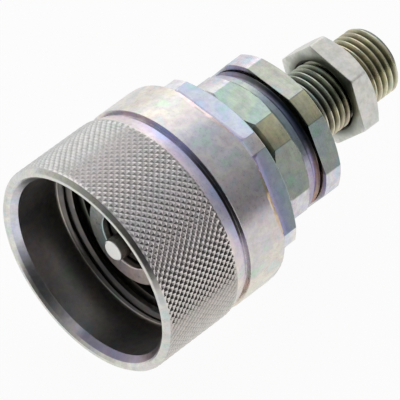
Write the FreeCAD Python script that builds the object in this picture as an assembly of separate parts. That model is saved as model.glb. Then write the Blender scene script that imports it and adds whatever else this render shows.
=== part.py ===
"""Bulkhead quick coupling, screw-to-connect, with a poppet valve and a bulkhead stud.

Frame: the axis is Y. The mouth faces -Y and the tube end faces +Y, +Z is up.
The origin is the centre of the shoulder that seats on the panel.
A name that ends in _AT is a distance from the mouth along the axis, in millimetres.
"""
import FreeCAD, Part
import math
import os

Vec = FreeCAD.Vector
CENTRE = Vec(0, 0, 0)
AXIS = Vec(0, 1, 0)

# Clearances
FACE_GAP = 0.05            # flat faces of different bodies
RUN_CLEARANCE = 0.06       # radial, running fits
SEAL_GAP = 0.05            # soft rings beside a wall of another body
PACKED_GAP = 0.02          # loose rings inside one body
FLANGE_PASS = 0.2          # radial, where the flange goes in through the sleeve's thread
RETAINING_CLEARANCE = 0.3  # radial, round the retaining ring
NUT_SLOPE = math.tan(math.radians(30))
FLANK_SLOPE = math.tan(math.radians(30))

# Sleeve, outside
RIM_CHAMFER = 1.0
KNURL_END_AT = 22.6
BEVEL_END_AT = 25.8
BEVEL_DROP = 1.0
GROOVE_END_AT = 27.0
SLEEVE_HEX_AF = 46.0
SLEEVE_CORNER_RISE = 2.4   # from a flat to the rounded corner
BAND_RISE = 1.55           # from the rounded corner to the band
KNURL_RISE = 0.3           # from the band to the knurl
GROOVE_DEPTH = 1.55        # below the band
SLEEVE_FLAT_AT = 39.5      # where the flats reach full depth
SLEEVE_END_AT = 45.0
SLEEVE_HEX_TURN = 57.7     # degrees from +X to a corner, towards +Z

# Sleeve, inside
RIM_FACE = 1.0             # width of the flat rim
MOUTH_CONE_DEPTH = 2.3
MOUTH_WALL = 3.65          # round the smooth mouth
THREAD_AT = 14.6
THREAD_STEP = 0.6
THREAD_EDGE = 0.5          # axial length of the steep edge ahead of the lead-in
THREAD_LEAD_RISE = 1.0     # radial
THREAD_LEAD = 1.7
THREAD_END_AT = 27.0
COUPLING_PITCH = 3.0
COUPLING_THREAD_DEPTH = 1.5
BACK_BORE_DEPTH = 1.7      # below the thread's inner radius
LIP_END_AT = 41.4
REAR_WALL = 1.5            # at the middle of a flat, round the counterbore
COUNTERBORE_CHAMFER = 0.4

# Body, outside
NECK_AT = 13.5
NECK_R = 12.2
NECK_CHAMFER = 0.6
FLANGE_AT = 31.0
FLANGE_END_AT = 36.4
FLANGE_RISE = 0.9          # from the journal to the flange
FLANGE_CHAMFER = 0.5
BODY_HEX_AF = 38.0
BODY_CORNER_RISE = 1.1     # from a flat to the rounded corner
BODY_HEX_TURN = 56.8
BODY_HEX_AT = 46.4
BODY_HEX_LEAD = 1.8        # front chamfer of the body's hexagon
BODY_HEX_END_AT = 54.4
BOSS_GROOVE_AT = 56.0
BOSS_GROOVE_W = 2.2
BOSS_GROOVE_DEPTH = 1.1
BODY_END_AT = 58.5

# Body, inside
SEAT_EDGE = 0.4
SEAT_R = 7.3
SEAT_AT = 15.6
CHAMBER_R = 9.6
CHAMBER_END_AT = 32.5
REAR_CHAMBER_R = 11.4
GUIDE_AT = 43.0
GUIDE_R = 12.5

# Rings on the body
THRUST_RING_T = 1.4
O_RING_AT = 39.4
O_RING_SECTION = 1.8
O_RING_GROOVE_W = 2.4
RETAINING_WIRE = 1.9
RETAINING_SINK = 1.0       # how deep the wire sits in its groove
RETAINING_GAP_DEG = 16.0
RETAINING_GAP_TURN = -90.0

# Poppet
PIN_R = 2.8
PIN_AT = 9.3
PIN_EDGE = 0.5
NOSE_FACE_AT = 14.7
NOSE_LIP_R = 6.7
NOSE_LIP_T = 0.7
SEAL_SECTION = 1.8
SEAL_R = 7.2
HEAD_R = 8.15
HEAD_T = 2.0
STEM_R = 3.0
STEM_END_AT = 48.5
STEM_CHAMFER = 0.5
NOSE_STUD_R = 1.75
NOSE_STUD_L = 8.0

# Guide and spring
GUIDE_T = 3.0
GUIDE_RIM = 1.8
GUIDE_HUB_R = 7.4
GUIDE_ARM_W = 3.2
GUIDE_ARMS = 3
SPRING_WIRE = 1.3
SPRING_MEAN_R = 5.6
SPRING_TURNS = 7

# Adapter
ADAPTER_SEAL_AT = 46.9
ADAPTER_SEAL_SECTION = 1.8
BACKUP_T = 1.0
ADAPTER_THREAD_AT = 50.4
ADAPTER_THREAD_R = 13.2
ADAPTER_PILOT_R = 16.8
ADAPTER_HEX_GAP = 0.5      # from the body's rear face to the adapter's hexagon
ADAPTER_HEX_L = 5.6
STUD_R = 8.95
STUD_L = 31.6
STUD_CHAMFER = 0.9
STUD_PITCH = 1.82
STUD_THREAD_DEPTH = 1.1
STUD_THREAD_START = 0.65   # from the shoulder to the groove where it crosses +X
STUD_RELIEF_W = 2.2        # thread relief behind the shoulder
STUD_RELIEF_SINK = 0.04    # below the thread's root
ADAPTER_CHAMBER_R = 8.6
ADAPTER_CHAMBER_END_AT = 57.0
TUBE_BORE_R = 5.0
TUBE_SEAT_R = 6.05
TUBE_SEAT_DEPTH = 12.0
CONE_MOUTH_R = 7.15
CONE_HALF_ANGLE = 12.0

# Locknut
NUT_STAND = 14.4           # from the shoulder, as the photograph shows it
NUT_T = 6.0
NUT_AF = 24.0
NUT_TURN = 50.6
NUT_COUNTERSINK_R = 9.6
NUT_COUNTERSINK_DEPTH = 0.5


def turned(profile):
    """Solid of revolution about the axis from (station, radius) points."""
    points = [Vec(radius, station - SHOULDER_AT, 0) for station, radius in profile]
    points.append(points[0])
    face = Part.Face(Part.makePolygon(points))
    return face.revolve(CENTRE, AXIS, 360)


def plain_ring(start, end, inner, outer):
    """Ring of rectangular section between two stations."""
    return turned([(start, inner), (start, outer), (end, outer), (end, inner)])


def round_ring(station, mean_r, section):
    """Ring of round section centred at a station."""
    return Part.makeTorus(mean_r, section / 2, Vec(0, station - SHOULDER_AT, 0), AXIS)


def turned_copy(shape, degrees):
    """Copy of a shape turned about the axis, from +X towards +Z."""
    copy = shape.copy()
    copy.rotate(CENTRE, AXIS, -degrees)
    return copy


def flat_cutter(across_flats, outer_r, start, end, run_in):
    """Block that mills the flat facing +X. run_in gives it a 45 degree ramp at its start."""
    depth = across_flats / 2
    reach = outer_r + 2
    ramp = reach - depth if run_in else 0
    outline = [(depth, start), (depth, end), (reach, end), (reach, start - ramp)]
    points = [Vec(x, station - SHOULDER_AT, -reach) for x, station in outline]
    points.append(points[0])
    return Part.Face(Part.makePolygon(points)).extrude(Vec(0, 0, 2 * reach))


def mill_hexagon(shape, across_flats, outer_r, start, end, corner_turn, run_in=False):
    """Cut six flats, with one corner corner_turn degrees above +X."""
    cutter = flat_cutter(across_flats, outer_r, start, end, run_in)
    for side in range(6):
        shape = shape.cut(turned_copy(cutter, corner_turn + 30 + 60 * side))
    return shape


def thread_groove(start, end, pitch, crest_r, depth):
    """Right-handed helical groove between two stations. A negative depth cuts outwards into a bore."""
    over = 0.15 if depth > 0 else -0.15
    root_r = crest_r - depth
    top_r = crest_r + over
    root_half = pitch / 16
    top_half = root_half + abs(top_r - root_r) * FLANK_SLOPE
    section = [(root_r, -root_half), (root_r, root_half), (top_r, top_half), (top_r, -top_half)]
    points = [Vec(radius, 0, offset) for radius, offset in section]
    points.append(points[0])
    turn = Part.makeHelix(pitch, pitch, crest_r).Edges[0]
    turns = []
    for count in range(math.ceil((end - start) / pitch) + 1):
        copy = turn.copy()
        copy.translate(Vec(0, 0, pitch * count))
        turns.append(copy)
    groove = Part.Wire(turns).makePipeShell([Part.makePolygon(points)], True, True)
    groove.rotate(CENTRE, Vec(1, 0, 0), -90)
    groove.translate(Vec(0, start - SHOULDER_AT, 0))
    return groove


def nut_chamfer(corner_r, across_flats):
    """Face radius and axial length of a 30 degree nut chamfer."""
    face_r = across_flats / 2 - 0.3
    return face_r, (corner_r - face_r) * NUT_SLOPE


# Stations and radii that follow from the sizes above
ADAPTER_HEX_AT = BODY_END_AT + ADAPTER_HEX_GAP
SHOULDER_AT = ADAPTER_HEX_AT + ADAPTER_HEX_L
STUD_END_AT = SHOULDER_AT + STUD_L
NUT_AT = SHOULDER_AT + NUT_STAND
SLEEVE_HEX_CORNER_R = SLEEVE_HEX_AF / 2 + SLEEVE_CORNER_RISE
BAND_R = SLEEVE_HEX_CORNER_R + BAND_RISE
SLEEVE_R = BAND_R + KNURL_RISE
GROOVE_R = BAND_R - GROOVE_DEPTH
MOUTH_R = SLEEVE_R - RIM_CHAMFER - RIM_FACE
MOUTH_BORE_R = SLEEVE_R - MOUTH_WALL
COUNTERBORE_R = SLEEVE_HEX_AF / 2 - REAR_WALL
JOURNAL_R = COUNTERBORE_R - RETAINING_CLEARANCE - RETAINING_WIRE + RETAINING_SINK
FLANGE_R = JOURNAL_R + FLANGE_RISE
THREAD_MINOR_R = FLANGE_R + FLANGE_PASS
BACK_BORE_R = THREAD_MINOR_R + BACK_BORE_DEPTH
BODY_HEX_CORNER_R = BODY_HEX_AF / 2 + BODY_CORNER_RISE
BOSS_R = BODY_HEX_AF / 2
LIP_R = JOURNAL_R + RUN_CLEARANCE
O_RING_R = LIP_R - SEAL_GAP - O_RING_SECTION / 2
LIP_AT = FLANGE_END_AT + THRUST_RING_T + FACE_GAP
SEAL_AT = SEAT_AT + SEAL_R - SEAT_R + (SEAL_SECTION / 2 + SEAL_GAP) * math.sqrt(2)
HEAD_AT = SEAL_AT + SEAL_SECTION / 2 + PACKED_GAP
HEAD_BACK_AT = HEAD_AT + HEAD_T
SEAL_FLOOR_R = SEAL_R - SEAL_SECTION / 2 - PACKED_GAP
GUIDE_END_AT = GUIDE_AT + GUIDE_T
RETAINING_R = JOURNAL_R - RETAINING_SINK + RETAINING_WIRE / 2
RETAINING_AT = LIP_END_AT + FACE_GAP + RETAINING_WIRE / 2


def coupling_sleeve():
    face_r, rear = nut_chamfer(SLEEVE_HEX_CORNER_R, SLEEVE_HEX_AF)
    corner_step = BAND_R - SLEEVE_HEX_CORNER_R
    profile = [
        (0, MOUTH_R),
        (0, SLEEVE_R - RIM_CHAMFER),
        (RIM_CHAMFER, SLEEVE_R),
        (KNURL_END_AT, SLEEVE_R),
        (BEVEL_END_AT, SLEEVE_R - BEVEL_DROP),
        (BEVEL_END_AT, GROOVE_R),
        (GROOVE_END_AT, GROOVE_R),
        (GROOVE_END_AT, BAND_R),
        (SLEEVE_FLAT_AT - corner_step, BAND_R),
        (SLEEVE_FLAT_AT, SLEEVE_HEX_CORNER_R),
        (SLEEVE_END_AT - rear, SLEEVE_HEX_CORNER_R),
        (SLEEVE_END_AT, face_r),
        (SLEEVE_END_AT, COUNTERBORE_R + COUNTERBORE_CHAMFER),
        (SLEEVE_END_AT - COUNTERBORE_CHAMFER, COUNTERBORE_R),
        (LIP_END_AT, COUNTERBORE_R),
        (LIP_END_AT, LIP_R),
        (LIP_AT, LIP_R),
        (LIP_AT, BACK_BORE_R),
        (THREAD_END_AT, BACK_BORE_R),
        (THREAD_END_AT, THREAD_MINOR_R),
        (THREAD_AT + THREAD_EDGE + THREAD_LEAD, THREAD_MINOR_R),
        (THREAD_AT + THREAD_EDGE, THREAD_MINOR_R + THREAD_LEAD_RISE),
        (THREAD_AT, MOUTH_BORE_R - THREAD_STEP),
        (THREAD_AT, MOUTH_BORE_R),
        (MOUTH_CONE_DEPTH, MOUTH_BORE_R),
    ]
    thread = thread_groove(THREAD_AT - COUPLING_PITCH, THREAD_END_AT + COUPLING_PITCH,
                           COUPLING_PITCH, THREAD_MINOR_R, -COUPLING_THREAD_DEPTH)
    return mill_hexagon(turned(profile).cut(thread), SLEEVE_HEX_AF, SLEEVE_R, SLEEVE_FLAT_AT,
                        SLEEVE_END_AT + 1, SLEEVE_HEX_TURN, run_in=True)


def valve_body():
    chamber_step = REAR_CHAMBER_R - CHAMBER_R
    hex_front_r = BODY_HEX_AF / 2 - 0.1
    hex_rear = BODY_HEX_CORNER_R - BOSS_R
    groove_mid = BOSS_GROOVE_AT + BOSS_GROOVE_W / 2
    wire_floor = JOURNAL_R - RETAINING_SINK - PACKED_GAP
    ring_floor = O_RING_R - O_RING_SECTION / 2 - PACKED_GAP
    bore_seat = SEAT_AT + CHAMBER_R - SEAT_R
    profile = [
        (NECK_AT, SEAT_R + SEAT_EDGE),
        (NECK_AT, NECK_R - NECK_CHAMFER),
        (NECK_AT + NECK_CHAMFER, NECK_R),
        (FLANGE_AT, NECK_R),
        (FLANGE_AT, FLANGE_R - FLANGE_CHAMFER),
        (FLANGE_AT + FLANGE_CHAMFER, FLANGE_R),
        (FLANGE_END_AT, FLANGE_R),
        (FLANGE_END_AT, JOURNAL_R),
        (O_RING_AT - O_RING_GROOVE_W / 2, JOURNAL_R),
        (O_RING_AT - O_RING_GROOVE_W / 2, ring_floor),
        (O_RING_AT + O_RING_GROOVE_W / 2, ring_floor),
        (O_RING_AT + O_RING_GROOVE_W / 2, JOURNAL_R),
        (RETAINING_AT - RETAINING_WIRE / 2 - PACKED_GAP, JOURNAL_R),
        (RETAINING_AT - RETAINING_WIRE / 2 - PACKED_GAP, wire_floor),
        (RETAINING_AT + RETAINING_WIRE / 2 + PACKED_GAP, wire_floor),
        (RETAINING_AT + RETAINING_WIRE / 2 + PACKED_GAP, JOURNAL_R),
        (BODY_HEX_AT - 0.4, JOURNAL_R),
        (BODY_HEX_AT, hex_front_r),
        (BODY_HEX_AT + BODY_HEX_LEAD, BODY_HEX_CORNER_R),
        (BODY_HEX_END_AT - hex_rear, BODY_HEX_CORNER_R),
        (BODY_HEX_END_AT, BOSS_R),
        (BOSS_GROOVE_AT, BOSS_R),
        (groove_mid, BOSS_R - BOSS_GROOVE_DEPTH),
        (BOSS_GROOVE_AT + BOSS_GROOVE_W, BOSS_R - 0.4),
        (BODY_END_AT, BOSS_R - 0.4),
        (BODY_END_AT, ADAPTER_THREAD_R),
        (ADAPTER_THREAD_AT, ADAPTER_THREAD_R),
        (ADAPTER_THREAD_AT, GUIDE_R),
        (GUIDE_AT, GUIDE_R),
        (GUIDE_AT, REAR_CHAMBER_R),
        (CHAMBER_END_AT + chamber_step, REAR_CHAMBER_R),
        (CHAMBER_END_AT, CHAMBER_R),
        (bore_seat, CHAMBER_R),
        (SEAT_AT, SEAT_R),
        (NECK_AT + SEAT_EDGE, SEAT_R),
    ]
    return mill_hexagon(turned(profile), BODY_HEX_AF, BODY_HEX_CORNER_R,
                        BODY_HEX_AT + 0.05, BODY_HEX_END_AT, BODY_HEX_TURN)


def bulkhead_adapter():
    face_r, rear = nut_chamfer(BODY_HEX_CORNER_R, BODY_HEX_AF)
    nose_r = GUIDE_R - PACKED_GAP
    groove_half = (ADAPTER_SEAL_SECTION + BACKUP_T) / 2 + 2 * PACKED_GAP
    groove_mid = ADAPTER_SEAL_AT + groove_half
    groove_floor = GUIDE_R - ADAPTER_SEAL_SECTION - PACKED_GAP
    cone_end = STUD_END_AT - (CONE_MOUTH_R - TUBE_SEAT_R) / math.tan(math.radians(CONE_HALF_ANGLE))
    tube_stop = STUD_END_AT - TUBE_SEAT_DEPTH
    throat = ADAPTER_CHAMBER_END_AT + (ADAPTER_CHAMBER_R - TUBE_BORE_R)
    relief_r = STUD_R - STUD_THREAD_DEPTH - STUD_RELIEF_SINK
    profile = [
        (GUIDE_END_AT, ADAPTER_CHAMBER_R),
        (GUIDE_END_AT, nose_r),
        (groove_mid - groove_half, nose_r),
        (groove_mid - groove_half, groove_floor),
        (groove_mid + groove_half, groove_floor),
        (groove_mid + groove_half, nose_r),
        (ADAPTER_THREAD_AT + PACKED_GAP, nose_r),
        (ADAPTER_THREAD_AT + PACKED_GAP, ADAPTER_THREAD_R),
        (BODY_END_AT, ADAPTER_THREAD_R),
        (BODY_END_AT, ADAPTER_PILOT_R),
        (ADAPTER_HEX_AT, ADAPTER_PILOT_R),
        (ADAPTER_HEX_AT, BODY_HEX_CORNER_R),
        (SHOULDER_AT - rear, BODY_HEX_CORNER_R),
        (SHOULDER_AT, face_r),
        (SHOULDER_AT, relief_r),
        (SHOULDER_AT + STUD_RELIEF_W, relief_r),
        (SHOULDER_AT + STUD_RELIEF_W + STUD_R - relief_r, STUD_R),
        (STUD_END_AT - STUD_CHAMFER, STUD_R),
        (STUD_END_AT, STUD_R - STUD_CHAMFER),
        (STUD_END_AT, CONE_MOUTH_R),
        (cone_end, TUBE_SEAT_R),
        (tube_stop, TUBE_SEAT_R),
        (tube_stop, TUBE_BORE_R),
        (throat, TUBE_BORE_R),
        (ADAPTER_CHAMBER_END_AT, ADAPTER_CHAMBER_R),
    ]
    blank = mill_hexagon(turned(profile), BODY_HEX_AF, BODY_HEX_CORNER_R,
                         ADAPTER_HEX_AT, SHOULDER_AT + 0.01, BODY_HEX_TURN)
    thread = thread_groove(SHOULDER_AT + STUD_THREAD_START, STUD_END_AT + STUD_PITCH,
                           STUD_PITCH, STUD_R, STUD_THREAD_DEPTH)
    return blank.cut(thread)


def adapter_o_ring():
    floor = GUIDE_R - ADAPTER_SEAL_SECTION
    station = ADAPTER_SEAL_AT + PACKED_GAP + ADAPTER_SEAL_SECTION / 2
    return round_ring(station, floor + ADAPTER_SEAL_SECTION / 2, ADAPTER_SEAL_SECTION)


def adapter_backup_ring():
    start = ADAPTER_SEAL_AT + 3 * PACKED_GAP + ADAPTER_SEAL_SECTION
    return plain_ring(start, start + BACKUP_T, GUIDE_R - ADAPTER_SEAL_SECTION, GUIDE_R - PACKED_GAP)


def thrust_ring():
    return plain_ring(FLANGE_END_AT, FLANGE_END_AT + THRUST_RING_T, LIP_R, FLANGE_R)


def sleeve_o_ring():
    return round_ring(O_RING_AT, O_RING_R, O_RING_SECTION)


def retaining_ring():
    ring = round_ring(RETAINING_AT, RETAINING_R, RETAINING_WIRE)
    reach = 2 * RETAINING_R
    half = math.radians(RETAINING_GAP_DEG / 2)
    corners = [(0, 0), (reach, -reach * math.tan(half)), (reach, reach * math.tan(half)), (0, 0)]
    bottom = RETAINING_AT - RETAINING_WIRE - SHOULDER_AT
    wedge = Part.Face(Part.makePolygon([Vec(x, bottom, z) for x, z in corners]))
    wedge = wedge.extrude(Vec(0, 2 * RETAINING_WIRE, 0))
    return ring.cut(turned_copy(wedge, RETAINING_GAP_TURN))


def poppet_nose():
    stud_end = HEAD_AT + NOSE_STUD_L
    return turned([
        (PIN_AT, 0),
        (PIN_AT, PIN_R - PIN_EDGE),
        (PIN_AT + 0.3 * PIN_EDGE, PIN_R - 0.3 * PIN_EDGE),
        (PIN_AT + PIN_EDGE, PIN_R),
        (NOSE_FACE_AT, PIN_R),
        (SEAL_AT - SEAL_SECTION / 2 - NOSE_LIP_T, NOSE_LIP_R),
        (SEAL_AT - SEAL_SECTION / 2 - PACKED_GAP, NOSE_LIP_R),
        (SEAL_AT - SEAL_SECTION / 2 - PACKED_GAP, SEAL_FLOOR_R),
        (HEAD_AT, SEAL_FLOOR_R),
        (HEAD_AT, NOSE_STUD_R),
        (stud_end, NOSE_STUD_R),
        (stud_end, 0),
    ])


def poppet_seal():
    return round_ring(SEAL_AT, SEAL_R, SEAL_SECTION)


def poppet_stem():
    stud_end = HEAD_AT + NOSE_STUD_L
    return turned([
        (HEAD_AT, NOSE_STUD_R),
        (HEAD_AT, HEAD_R),
        (HEAD_BACK_AT, HEAD_R),
        (HEAD_BACK_AT, STEM_R + 1),
        (HEAD_BACK_AT + 1, STEM_R),
        (STEM_END_AT - STEM_CHAMFER, STEM_R),
        (STEM_END_AT, STEM_R - STEM_CHAMFER),
        (STEM_END_AT, 0),
        (stud_end, 0),
        (stud_end, NOSE_STUD_R),
    ])


def valve_guide():
    rim = plain_ring(GUIDE_AT, GUIDE_END_AT, GUIDE_R - PACKED_GAP - GUIDE_RIM, GUIDE_R - PACKED_GAP)
    guide = rim.fuse(plain_ring(GUIDE_AT, GUIDE_END_AT, STEM_R + RUN_CLEARANCE, GUIDE_HUB_R))
    reach = GUIDE_R - PACKED_GAP - GUIDE_RIM / 2 - GUIDE_HUB_R + GUIDE_ARM_W / 2
    arm = Part.makeBox(reach, GUIDE_T, GUIDE_ARM_W,
                       Vec(GUIDE_HUB_R - GUIDE_ARM_W / 2, GUIDE_AT - SHOULDER_AT, -GUIDE_ARM_W / 2))
    for count in range(GUIDE_ARMS):
        guide = guide.fuse(turned_copy(arm, 90 + 360 * count / GUIDE_ARMS))
    return guide.removeSplitter()


def valve_spring():
    """Open-ended compression spring between the poppet's head and the guide."""
    start = HEAD_BACK_AT + SPRING_WIRE / 2 + FACE_GAP
    end = GUIDE_AT - SPRING_WIRE / 2 - PACKED_GAP
    pitch = (end - start) / SPRING_TURNS
    helix = Part.makeHelix(pitch, end - start, SPRING_MEAN_R)
    section = Part.Wire(Part.makeCircle(SPRING_WIRE / 2, Vec(SPRING_MEAN_R, 0, 0), Vec(0, 1, 0)))
    coil = Part.Wire(helix).makePipeShell([section], True, True)
    coil.rotate(CENTRE, Vec(1, 0, 0), -90)
    coil.translate(Vec(0, start - SHOULDER_AT, 0))
    return coil


def locknut():
    corner_r = NUT_AF / math.sqrt(3)
    face_r, rear = nut_chamfer(corner_r, NUT_AF)
    bore_r = STUD_R + RUN_CLEARANCE
    end = NUT_AT + NUT_T
    profile = [
        (NUT_AT, NUT_COUNTERSINK_R),
        (NUT_AT, corner_r),
        (end - rear, corner_r),
        (end, face_r),
        (end, NUT_COUNTERSINK_R),
        (end - NUT_COUNTERSINK_DEPTH, bore_r),
        (NUT_AT + NUT_COUNTERSINK_DEPTH, bore_r),
    ]
    return mill_hexagon(turned(profile), NUT_AF, corner_r, NUT_AT - 1, end + 1, NUT_TURN)


NODES = [
    coupling_sleeve,
    valve_body,
    bulkhead_adapter,
    adapter_o_ring,
    adapter_backup_ring,
    thrust_ring,
    sleeve_o_ring,
    retaining_ring,
    poppet_nose,
    poppet_seal,
    poppet_stem,
    valve_guide,
    valve_spring,
    locknut,
]

os.makedirs("parts", exist_ok=True)
for make_node in NODES:
    solid = make_node()
    if not solid.isValid() or len(solid.Solids) != 1:
        raise RuntimeError(make_node.__name__ + " is not one valid solid")
    solid.exportStep(os.path.join("parts", make_node.__name__ + ".step"))
    print(make_node.__name__, round(solid.Volume / 1000, 3), "cm3")
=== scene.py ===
import math

import bmesh
import bpy
import numpy as np
from mathutils import Matrix, Vector


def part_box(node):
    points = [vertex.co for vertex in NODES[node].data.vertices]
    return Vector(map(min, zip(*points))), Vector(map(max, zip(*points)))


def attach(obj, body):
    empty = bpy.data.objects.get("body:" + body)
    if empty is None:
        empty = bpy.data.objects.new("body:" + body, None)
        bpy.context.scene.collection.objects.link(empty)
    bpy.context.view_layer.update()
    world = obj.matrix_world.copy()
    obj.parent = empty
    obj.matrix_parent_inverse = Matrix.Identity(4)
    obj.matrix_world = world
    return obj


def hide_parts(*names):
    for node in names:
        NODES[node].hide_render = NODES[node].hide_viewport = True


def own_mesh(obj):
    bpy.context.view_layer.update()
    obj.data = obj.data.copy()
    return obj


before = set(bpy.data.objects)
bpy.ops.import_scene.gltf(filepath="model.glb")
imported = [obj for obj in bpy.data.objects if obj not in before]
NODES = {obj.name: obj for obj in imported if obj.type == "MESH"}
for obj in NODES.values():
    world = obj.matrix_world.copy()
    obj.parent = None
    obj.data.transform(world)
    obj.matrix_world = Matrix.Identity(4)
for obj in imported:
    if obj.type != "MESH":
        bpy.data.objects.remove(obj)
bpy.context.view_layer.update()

# Lengths are in millimetres where no comment says metres. A station is a distance from the mouth
# along the axis. An angle goes round the axis, from +X toward +Z.
MM = 0.001
SHOULDER_AT = 64.6
TAN30 = math.tan(math.radians(30))

# In metres: points closer than the first become one, and edges shorter than the second go.
WELD = 2e-6
SHORTEST_EDGE = 1e-7


def link(name, data):
    obj = bpy.data.objects.new(name, data)
    bpy.context.scene.collection.objects.link(obj)
    return obj


class Patches:
    """Grid patches round the axis, welded into one mesh."""

    def __init__(self):
        self.verts = []
        self.faces = []
        self.count = 0

    def add(self, stations, radii, angles):
        xyz = np.stack([radii * np.cos(angles), stations - SHOULDER_AT, radii * np.sin(angles)], -1)
        self.verts.append(xyz.reshape(-1, 3) * MM)
        rows, cols = radii.shape
        index = self.count + np.arange(rows * cols).reshape(rows, cols)
        self.count += rows * cols
        return index

    def grid(self, stations, radii, angles, shift=0):
        """stations, radii: rows x columns.
        shift: rows that a column gains in one turn, as on a thread."""
        stations = np.asarray(stations, float)
        radii = np.asarray(radii, float)
        index = self.add(stations, radii, np.broadcast_to(angles, radii.shape))
        rows = len(index)
        quads = []
        for i in range(rows - 1):
            a = index[i]
            b = index[i + 1]
            quads.append(np.stack([a[:-1], a[1:], b[1:], b[:-1]], -1))
            if i + 1 + shift < rows:
                quads.append(np.array([[a[-1], index[i + shift, 0], index[i + 1 + shift, 0], b[-1]]]))
        self.faces.append(np.concatenate(quads))

    def lathe(self, profile, angles):
        """profile: (station, radius) points, each a number or one value a column.
        angles: one row for all points, or a row for each."""
        cols = np.shape(angles)[-1]
        rows = [(np.broadcast_to(s, cols), np.broadcast_to(r, cols)) for s, r in profile]
        self.grid([r[0] for r in rows], [r[1] for r in rows], angles)

    def cells(self, stations, radii, angles, split):
        """Grid of triangles.
        split(i, j) is true where the cell's diagonal runs from its first corner."""
        rows, cols = radii.shape
        index = self.add(stations, radii, angles)
        i, j = np.meshgrid(np.arange(rows - 1), np.arange(cols), indexing="ij")
        k = (j + 1) % cols
        a, b, c, d = index[i, j], index[i, k], index[i + 1, k], index[i + 1, j]
        main = split(i, j)
        one = np.where(main[..., None], np.stack([a, b, c], -1), np.stack([a, b, d], -1))
        two = np.where(main[..., None], np.stack([a, c, d], -1), np.stack([b, c, d], -1))
        self.faces.append(np.concatenate([one.reshape(-1, 3), two.reshape(-1, 3)]))

    def build(self, name, sharp_deg=14.0):
        """sharp_deg: edges that bend less than this are shaded smooth."""
        verts = np.concatenate(self.verts)
        faces = [tuple(int(v) for v in f) for group in self.faces for f in group]
        mesh = bpy.data.meshes.new(name)
        mesh.from_pydata(verts.tolist(), [], faces)
        work = bmesh.new()
        work.from_mesh(mesh)
        bmesh.ops.remove_doubles(work, verts=work.verts, dist=WELD)
        bmesh.ops.dissolve_degenerate(work, dist=SHORTEST_EDGE, edges=work.edges)
        bmesh.ops.recalc_face_normals(work, faces=work.faces)
        limit = math.radians(sharp_deg)
        for edge in work.edges:
            edge.smooth = len(edge.link_faces) == 2 and edge.calc_face_angle(0) < limit
        for face in work.faces:
            face.smooth = True
        work.to_mesh(mesh)
        work.free()
        return link(name, mesh)


def hex_columns(count, corner_deg, half_round_deg):
    """Column angles, and their angles from the middle of the nearest flat.
    There is a column on both edges of each rounded corner."""
    per = count // 6
    edge = max(1, round(per * half_round_deg / 60)) if half_round_deg > 0 else 0
    j = np.arange(per)
    fold = np.minimum(j, per - j)
    if edge:
        off = np.where(
            fold <= edge,
            fold * half_round_deg / edge,
            half_round_deg + (fold - edge) * (30 - half_round_deg) / (per / 2 - edge),
        )
    else:
        off = fold * 60.0 / per
    local = np.where(j <= per / 2, off, 60 - off)
    angles = np.concatenate([corner_deg + 60 * k + local for k in range(6)])
    from_flat = np.tile(30 - off, 6)
    return np.radians(angles), np.radians(from_flat)


def helix(thread, pitch, base, start, end, angles, envelope):
    """Right-handed thread between two stations.
    thread: (share of the pitch, radius) points of its outline.
    base: station of a groove's middle where it crosses +X."""
    at, radii_at = zip(*thread)
    turn = -angles / (2 * math.pi)
    first = math.floor((start - base) / pitch - turn.max()) - 1
    last = math.ceil((end - base) / pitch - turn.min()) + 1
    raw = np.array([base + (k + a + turn) * pitch for k in range(first, last) for a in at])
    stations = np.clip(raw, start, end)
    phase = ((stations - base) / pitch - turn) % 1.0
    radii = envelope(stations, np.interp(phase, at, radii_at, period=1.0))
    used = (raw.max(1) > start - pitch) & (raw.min(1) < end + pitch)
    return stations[used], radii[used]


def shifted(station, radius, offsets):
    """Rows beside a hexagon's edge, which break that edge."""
    return [(station + s, radius + r) for s, r in offsets]


# The knurled sleeve.
CELLS = 93
PER_CELL = 6
SLEEVE_COLS = CELLS * PER_CELL
KNURL_CELL = 1.825
KNURL_START = 0.675
KNURL_FROM = 1.0
KNURL_TO = 22.5
KNURL_R = 27.24
KNURL_DEPTH = 0.36
KNURL_EDGE_R = KNURL_R - 0.3 * KNURL_DEPTH
KNURL_TURN = 57.65

# Share of a row that stays free at both ends of the knurl.
KNURL_MARGIN = 0.2

# The two sets of crossing grooves: their width as a share of a cell, and the depth of each set
# as a share of KNURL_DEPTH.
CUT_WIDTH = 0.85
CUT_DEPTHS = (0.60, 0.92)

# Distance from the knurl's ends, and the share of its depth there.
FADE_AT = [0.0, 0.3, 0.9]
FADE_TO = [0.25, 0.7, 1.0]

# The smooth band behind its groove, and the hexagon's distance from the axis on flats and corners.
GROOVE_FROM = 25.8
GROOVE_TO = 26.9
GROOVE_R = 25.4
BAND_FROM = 27.0
BAND_R = 26.95
SLEEVE_FLAT = 23.0
SLEEVE_CORNER = 25.4
SLEEVE_CORNER_AT = 57.7
SLEEVE_HALF_ROUND = 4.9
CONE_FROM = 37.95
FLAT_FROM = 39.5
SLEEVE_END = 45.0

# Where a flat runs out into the band: its slope, and the fillet at its foot, whose arc has
# FILLET_REACH as its radius.
RUN_IN_SLOPE = 1.25
RUN_IN_FILLET = 1.25
FILLET_REACH = RUN_IN_FILLET * 2.414
FILLET_FOOT = RUN_IN_FILLET * 0.7
FILLET_ROWS = (0.2, 0.4, 0.6, 0.8, 1.0)

# The line at the head of a run-in, painted bright as a highlight: its length at a corner and what a
# flat's middle adds, and the distances of the rows that keep its colour off the band and off the flat.
LINE_AT_CORNER = 0.32
LINE_AT_FLAT = 0.62
LINE_GUARD = 0.06
LINE_SHARP = 0.04

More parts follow.
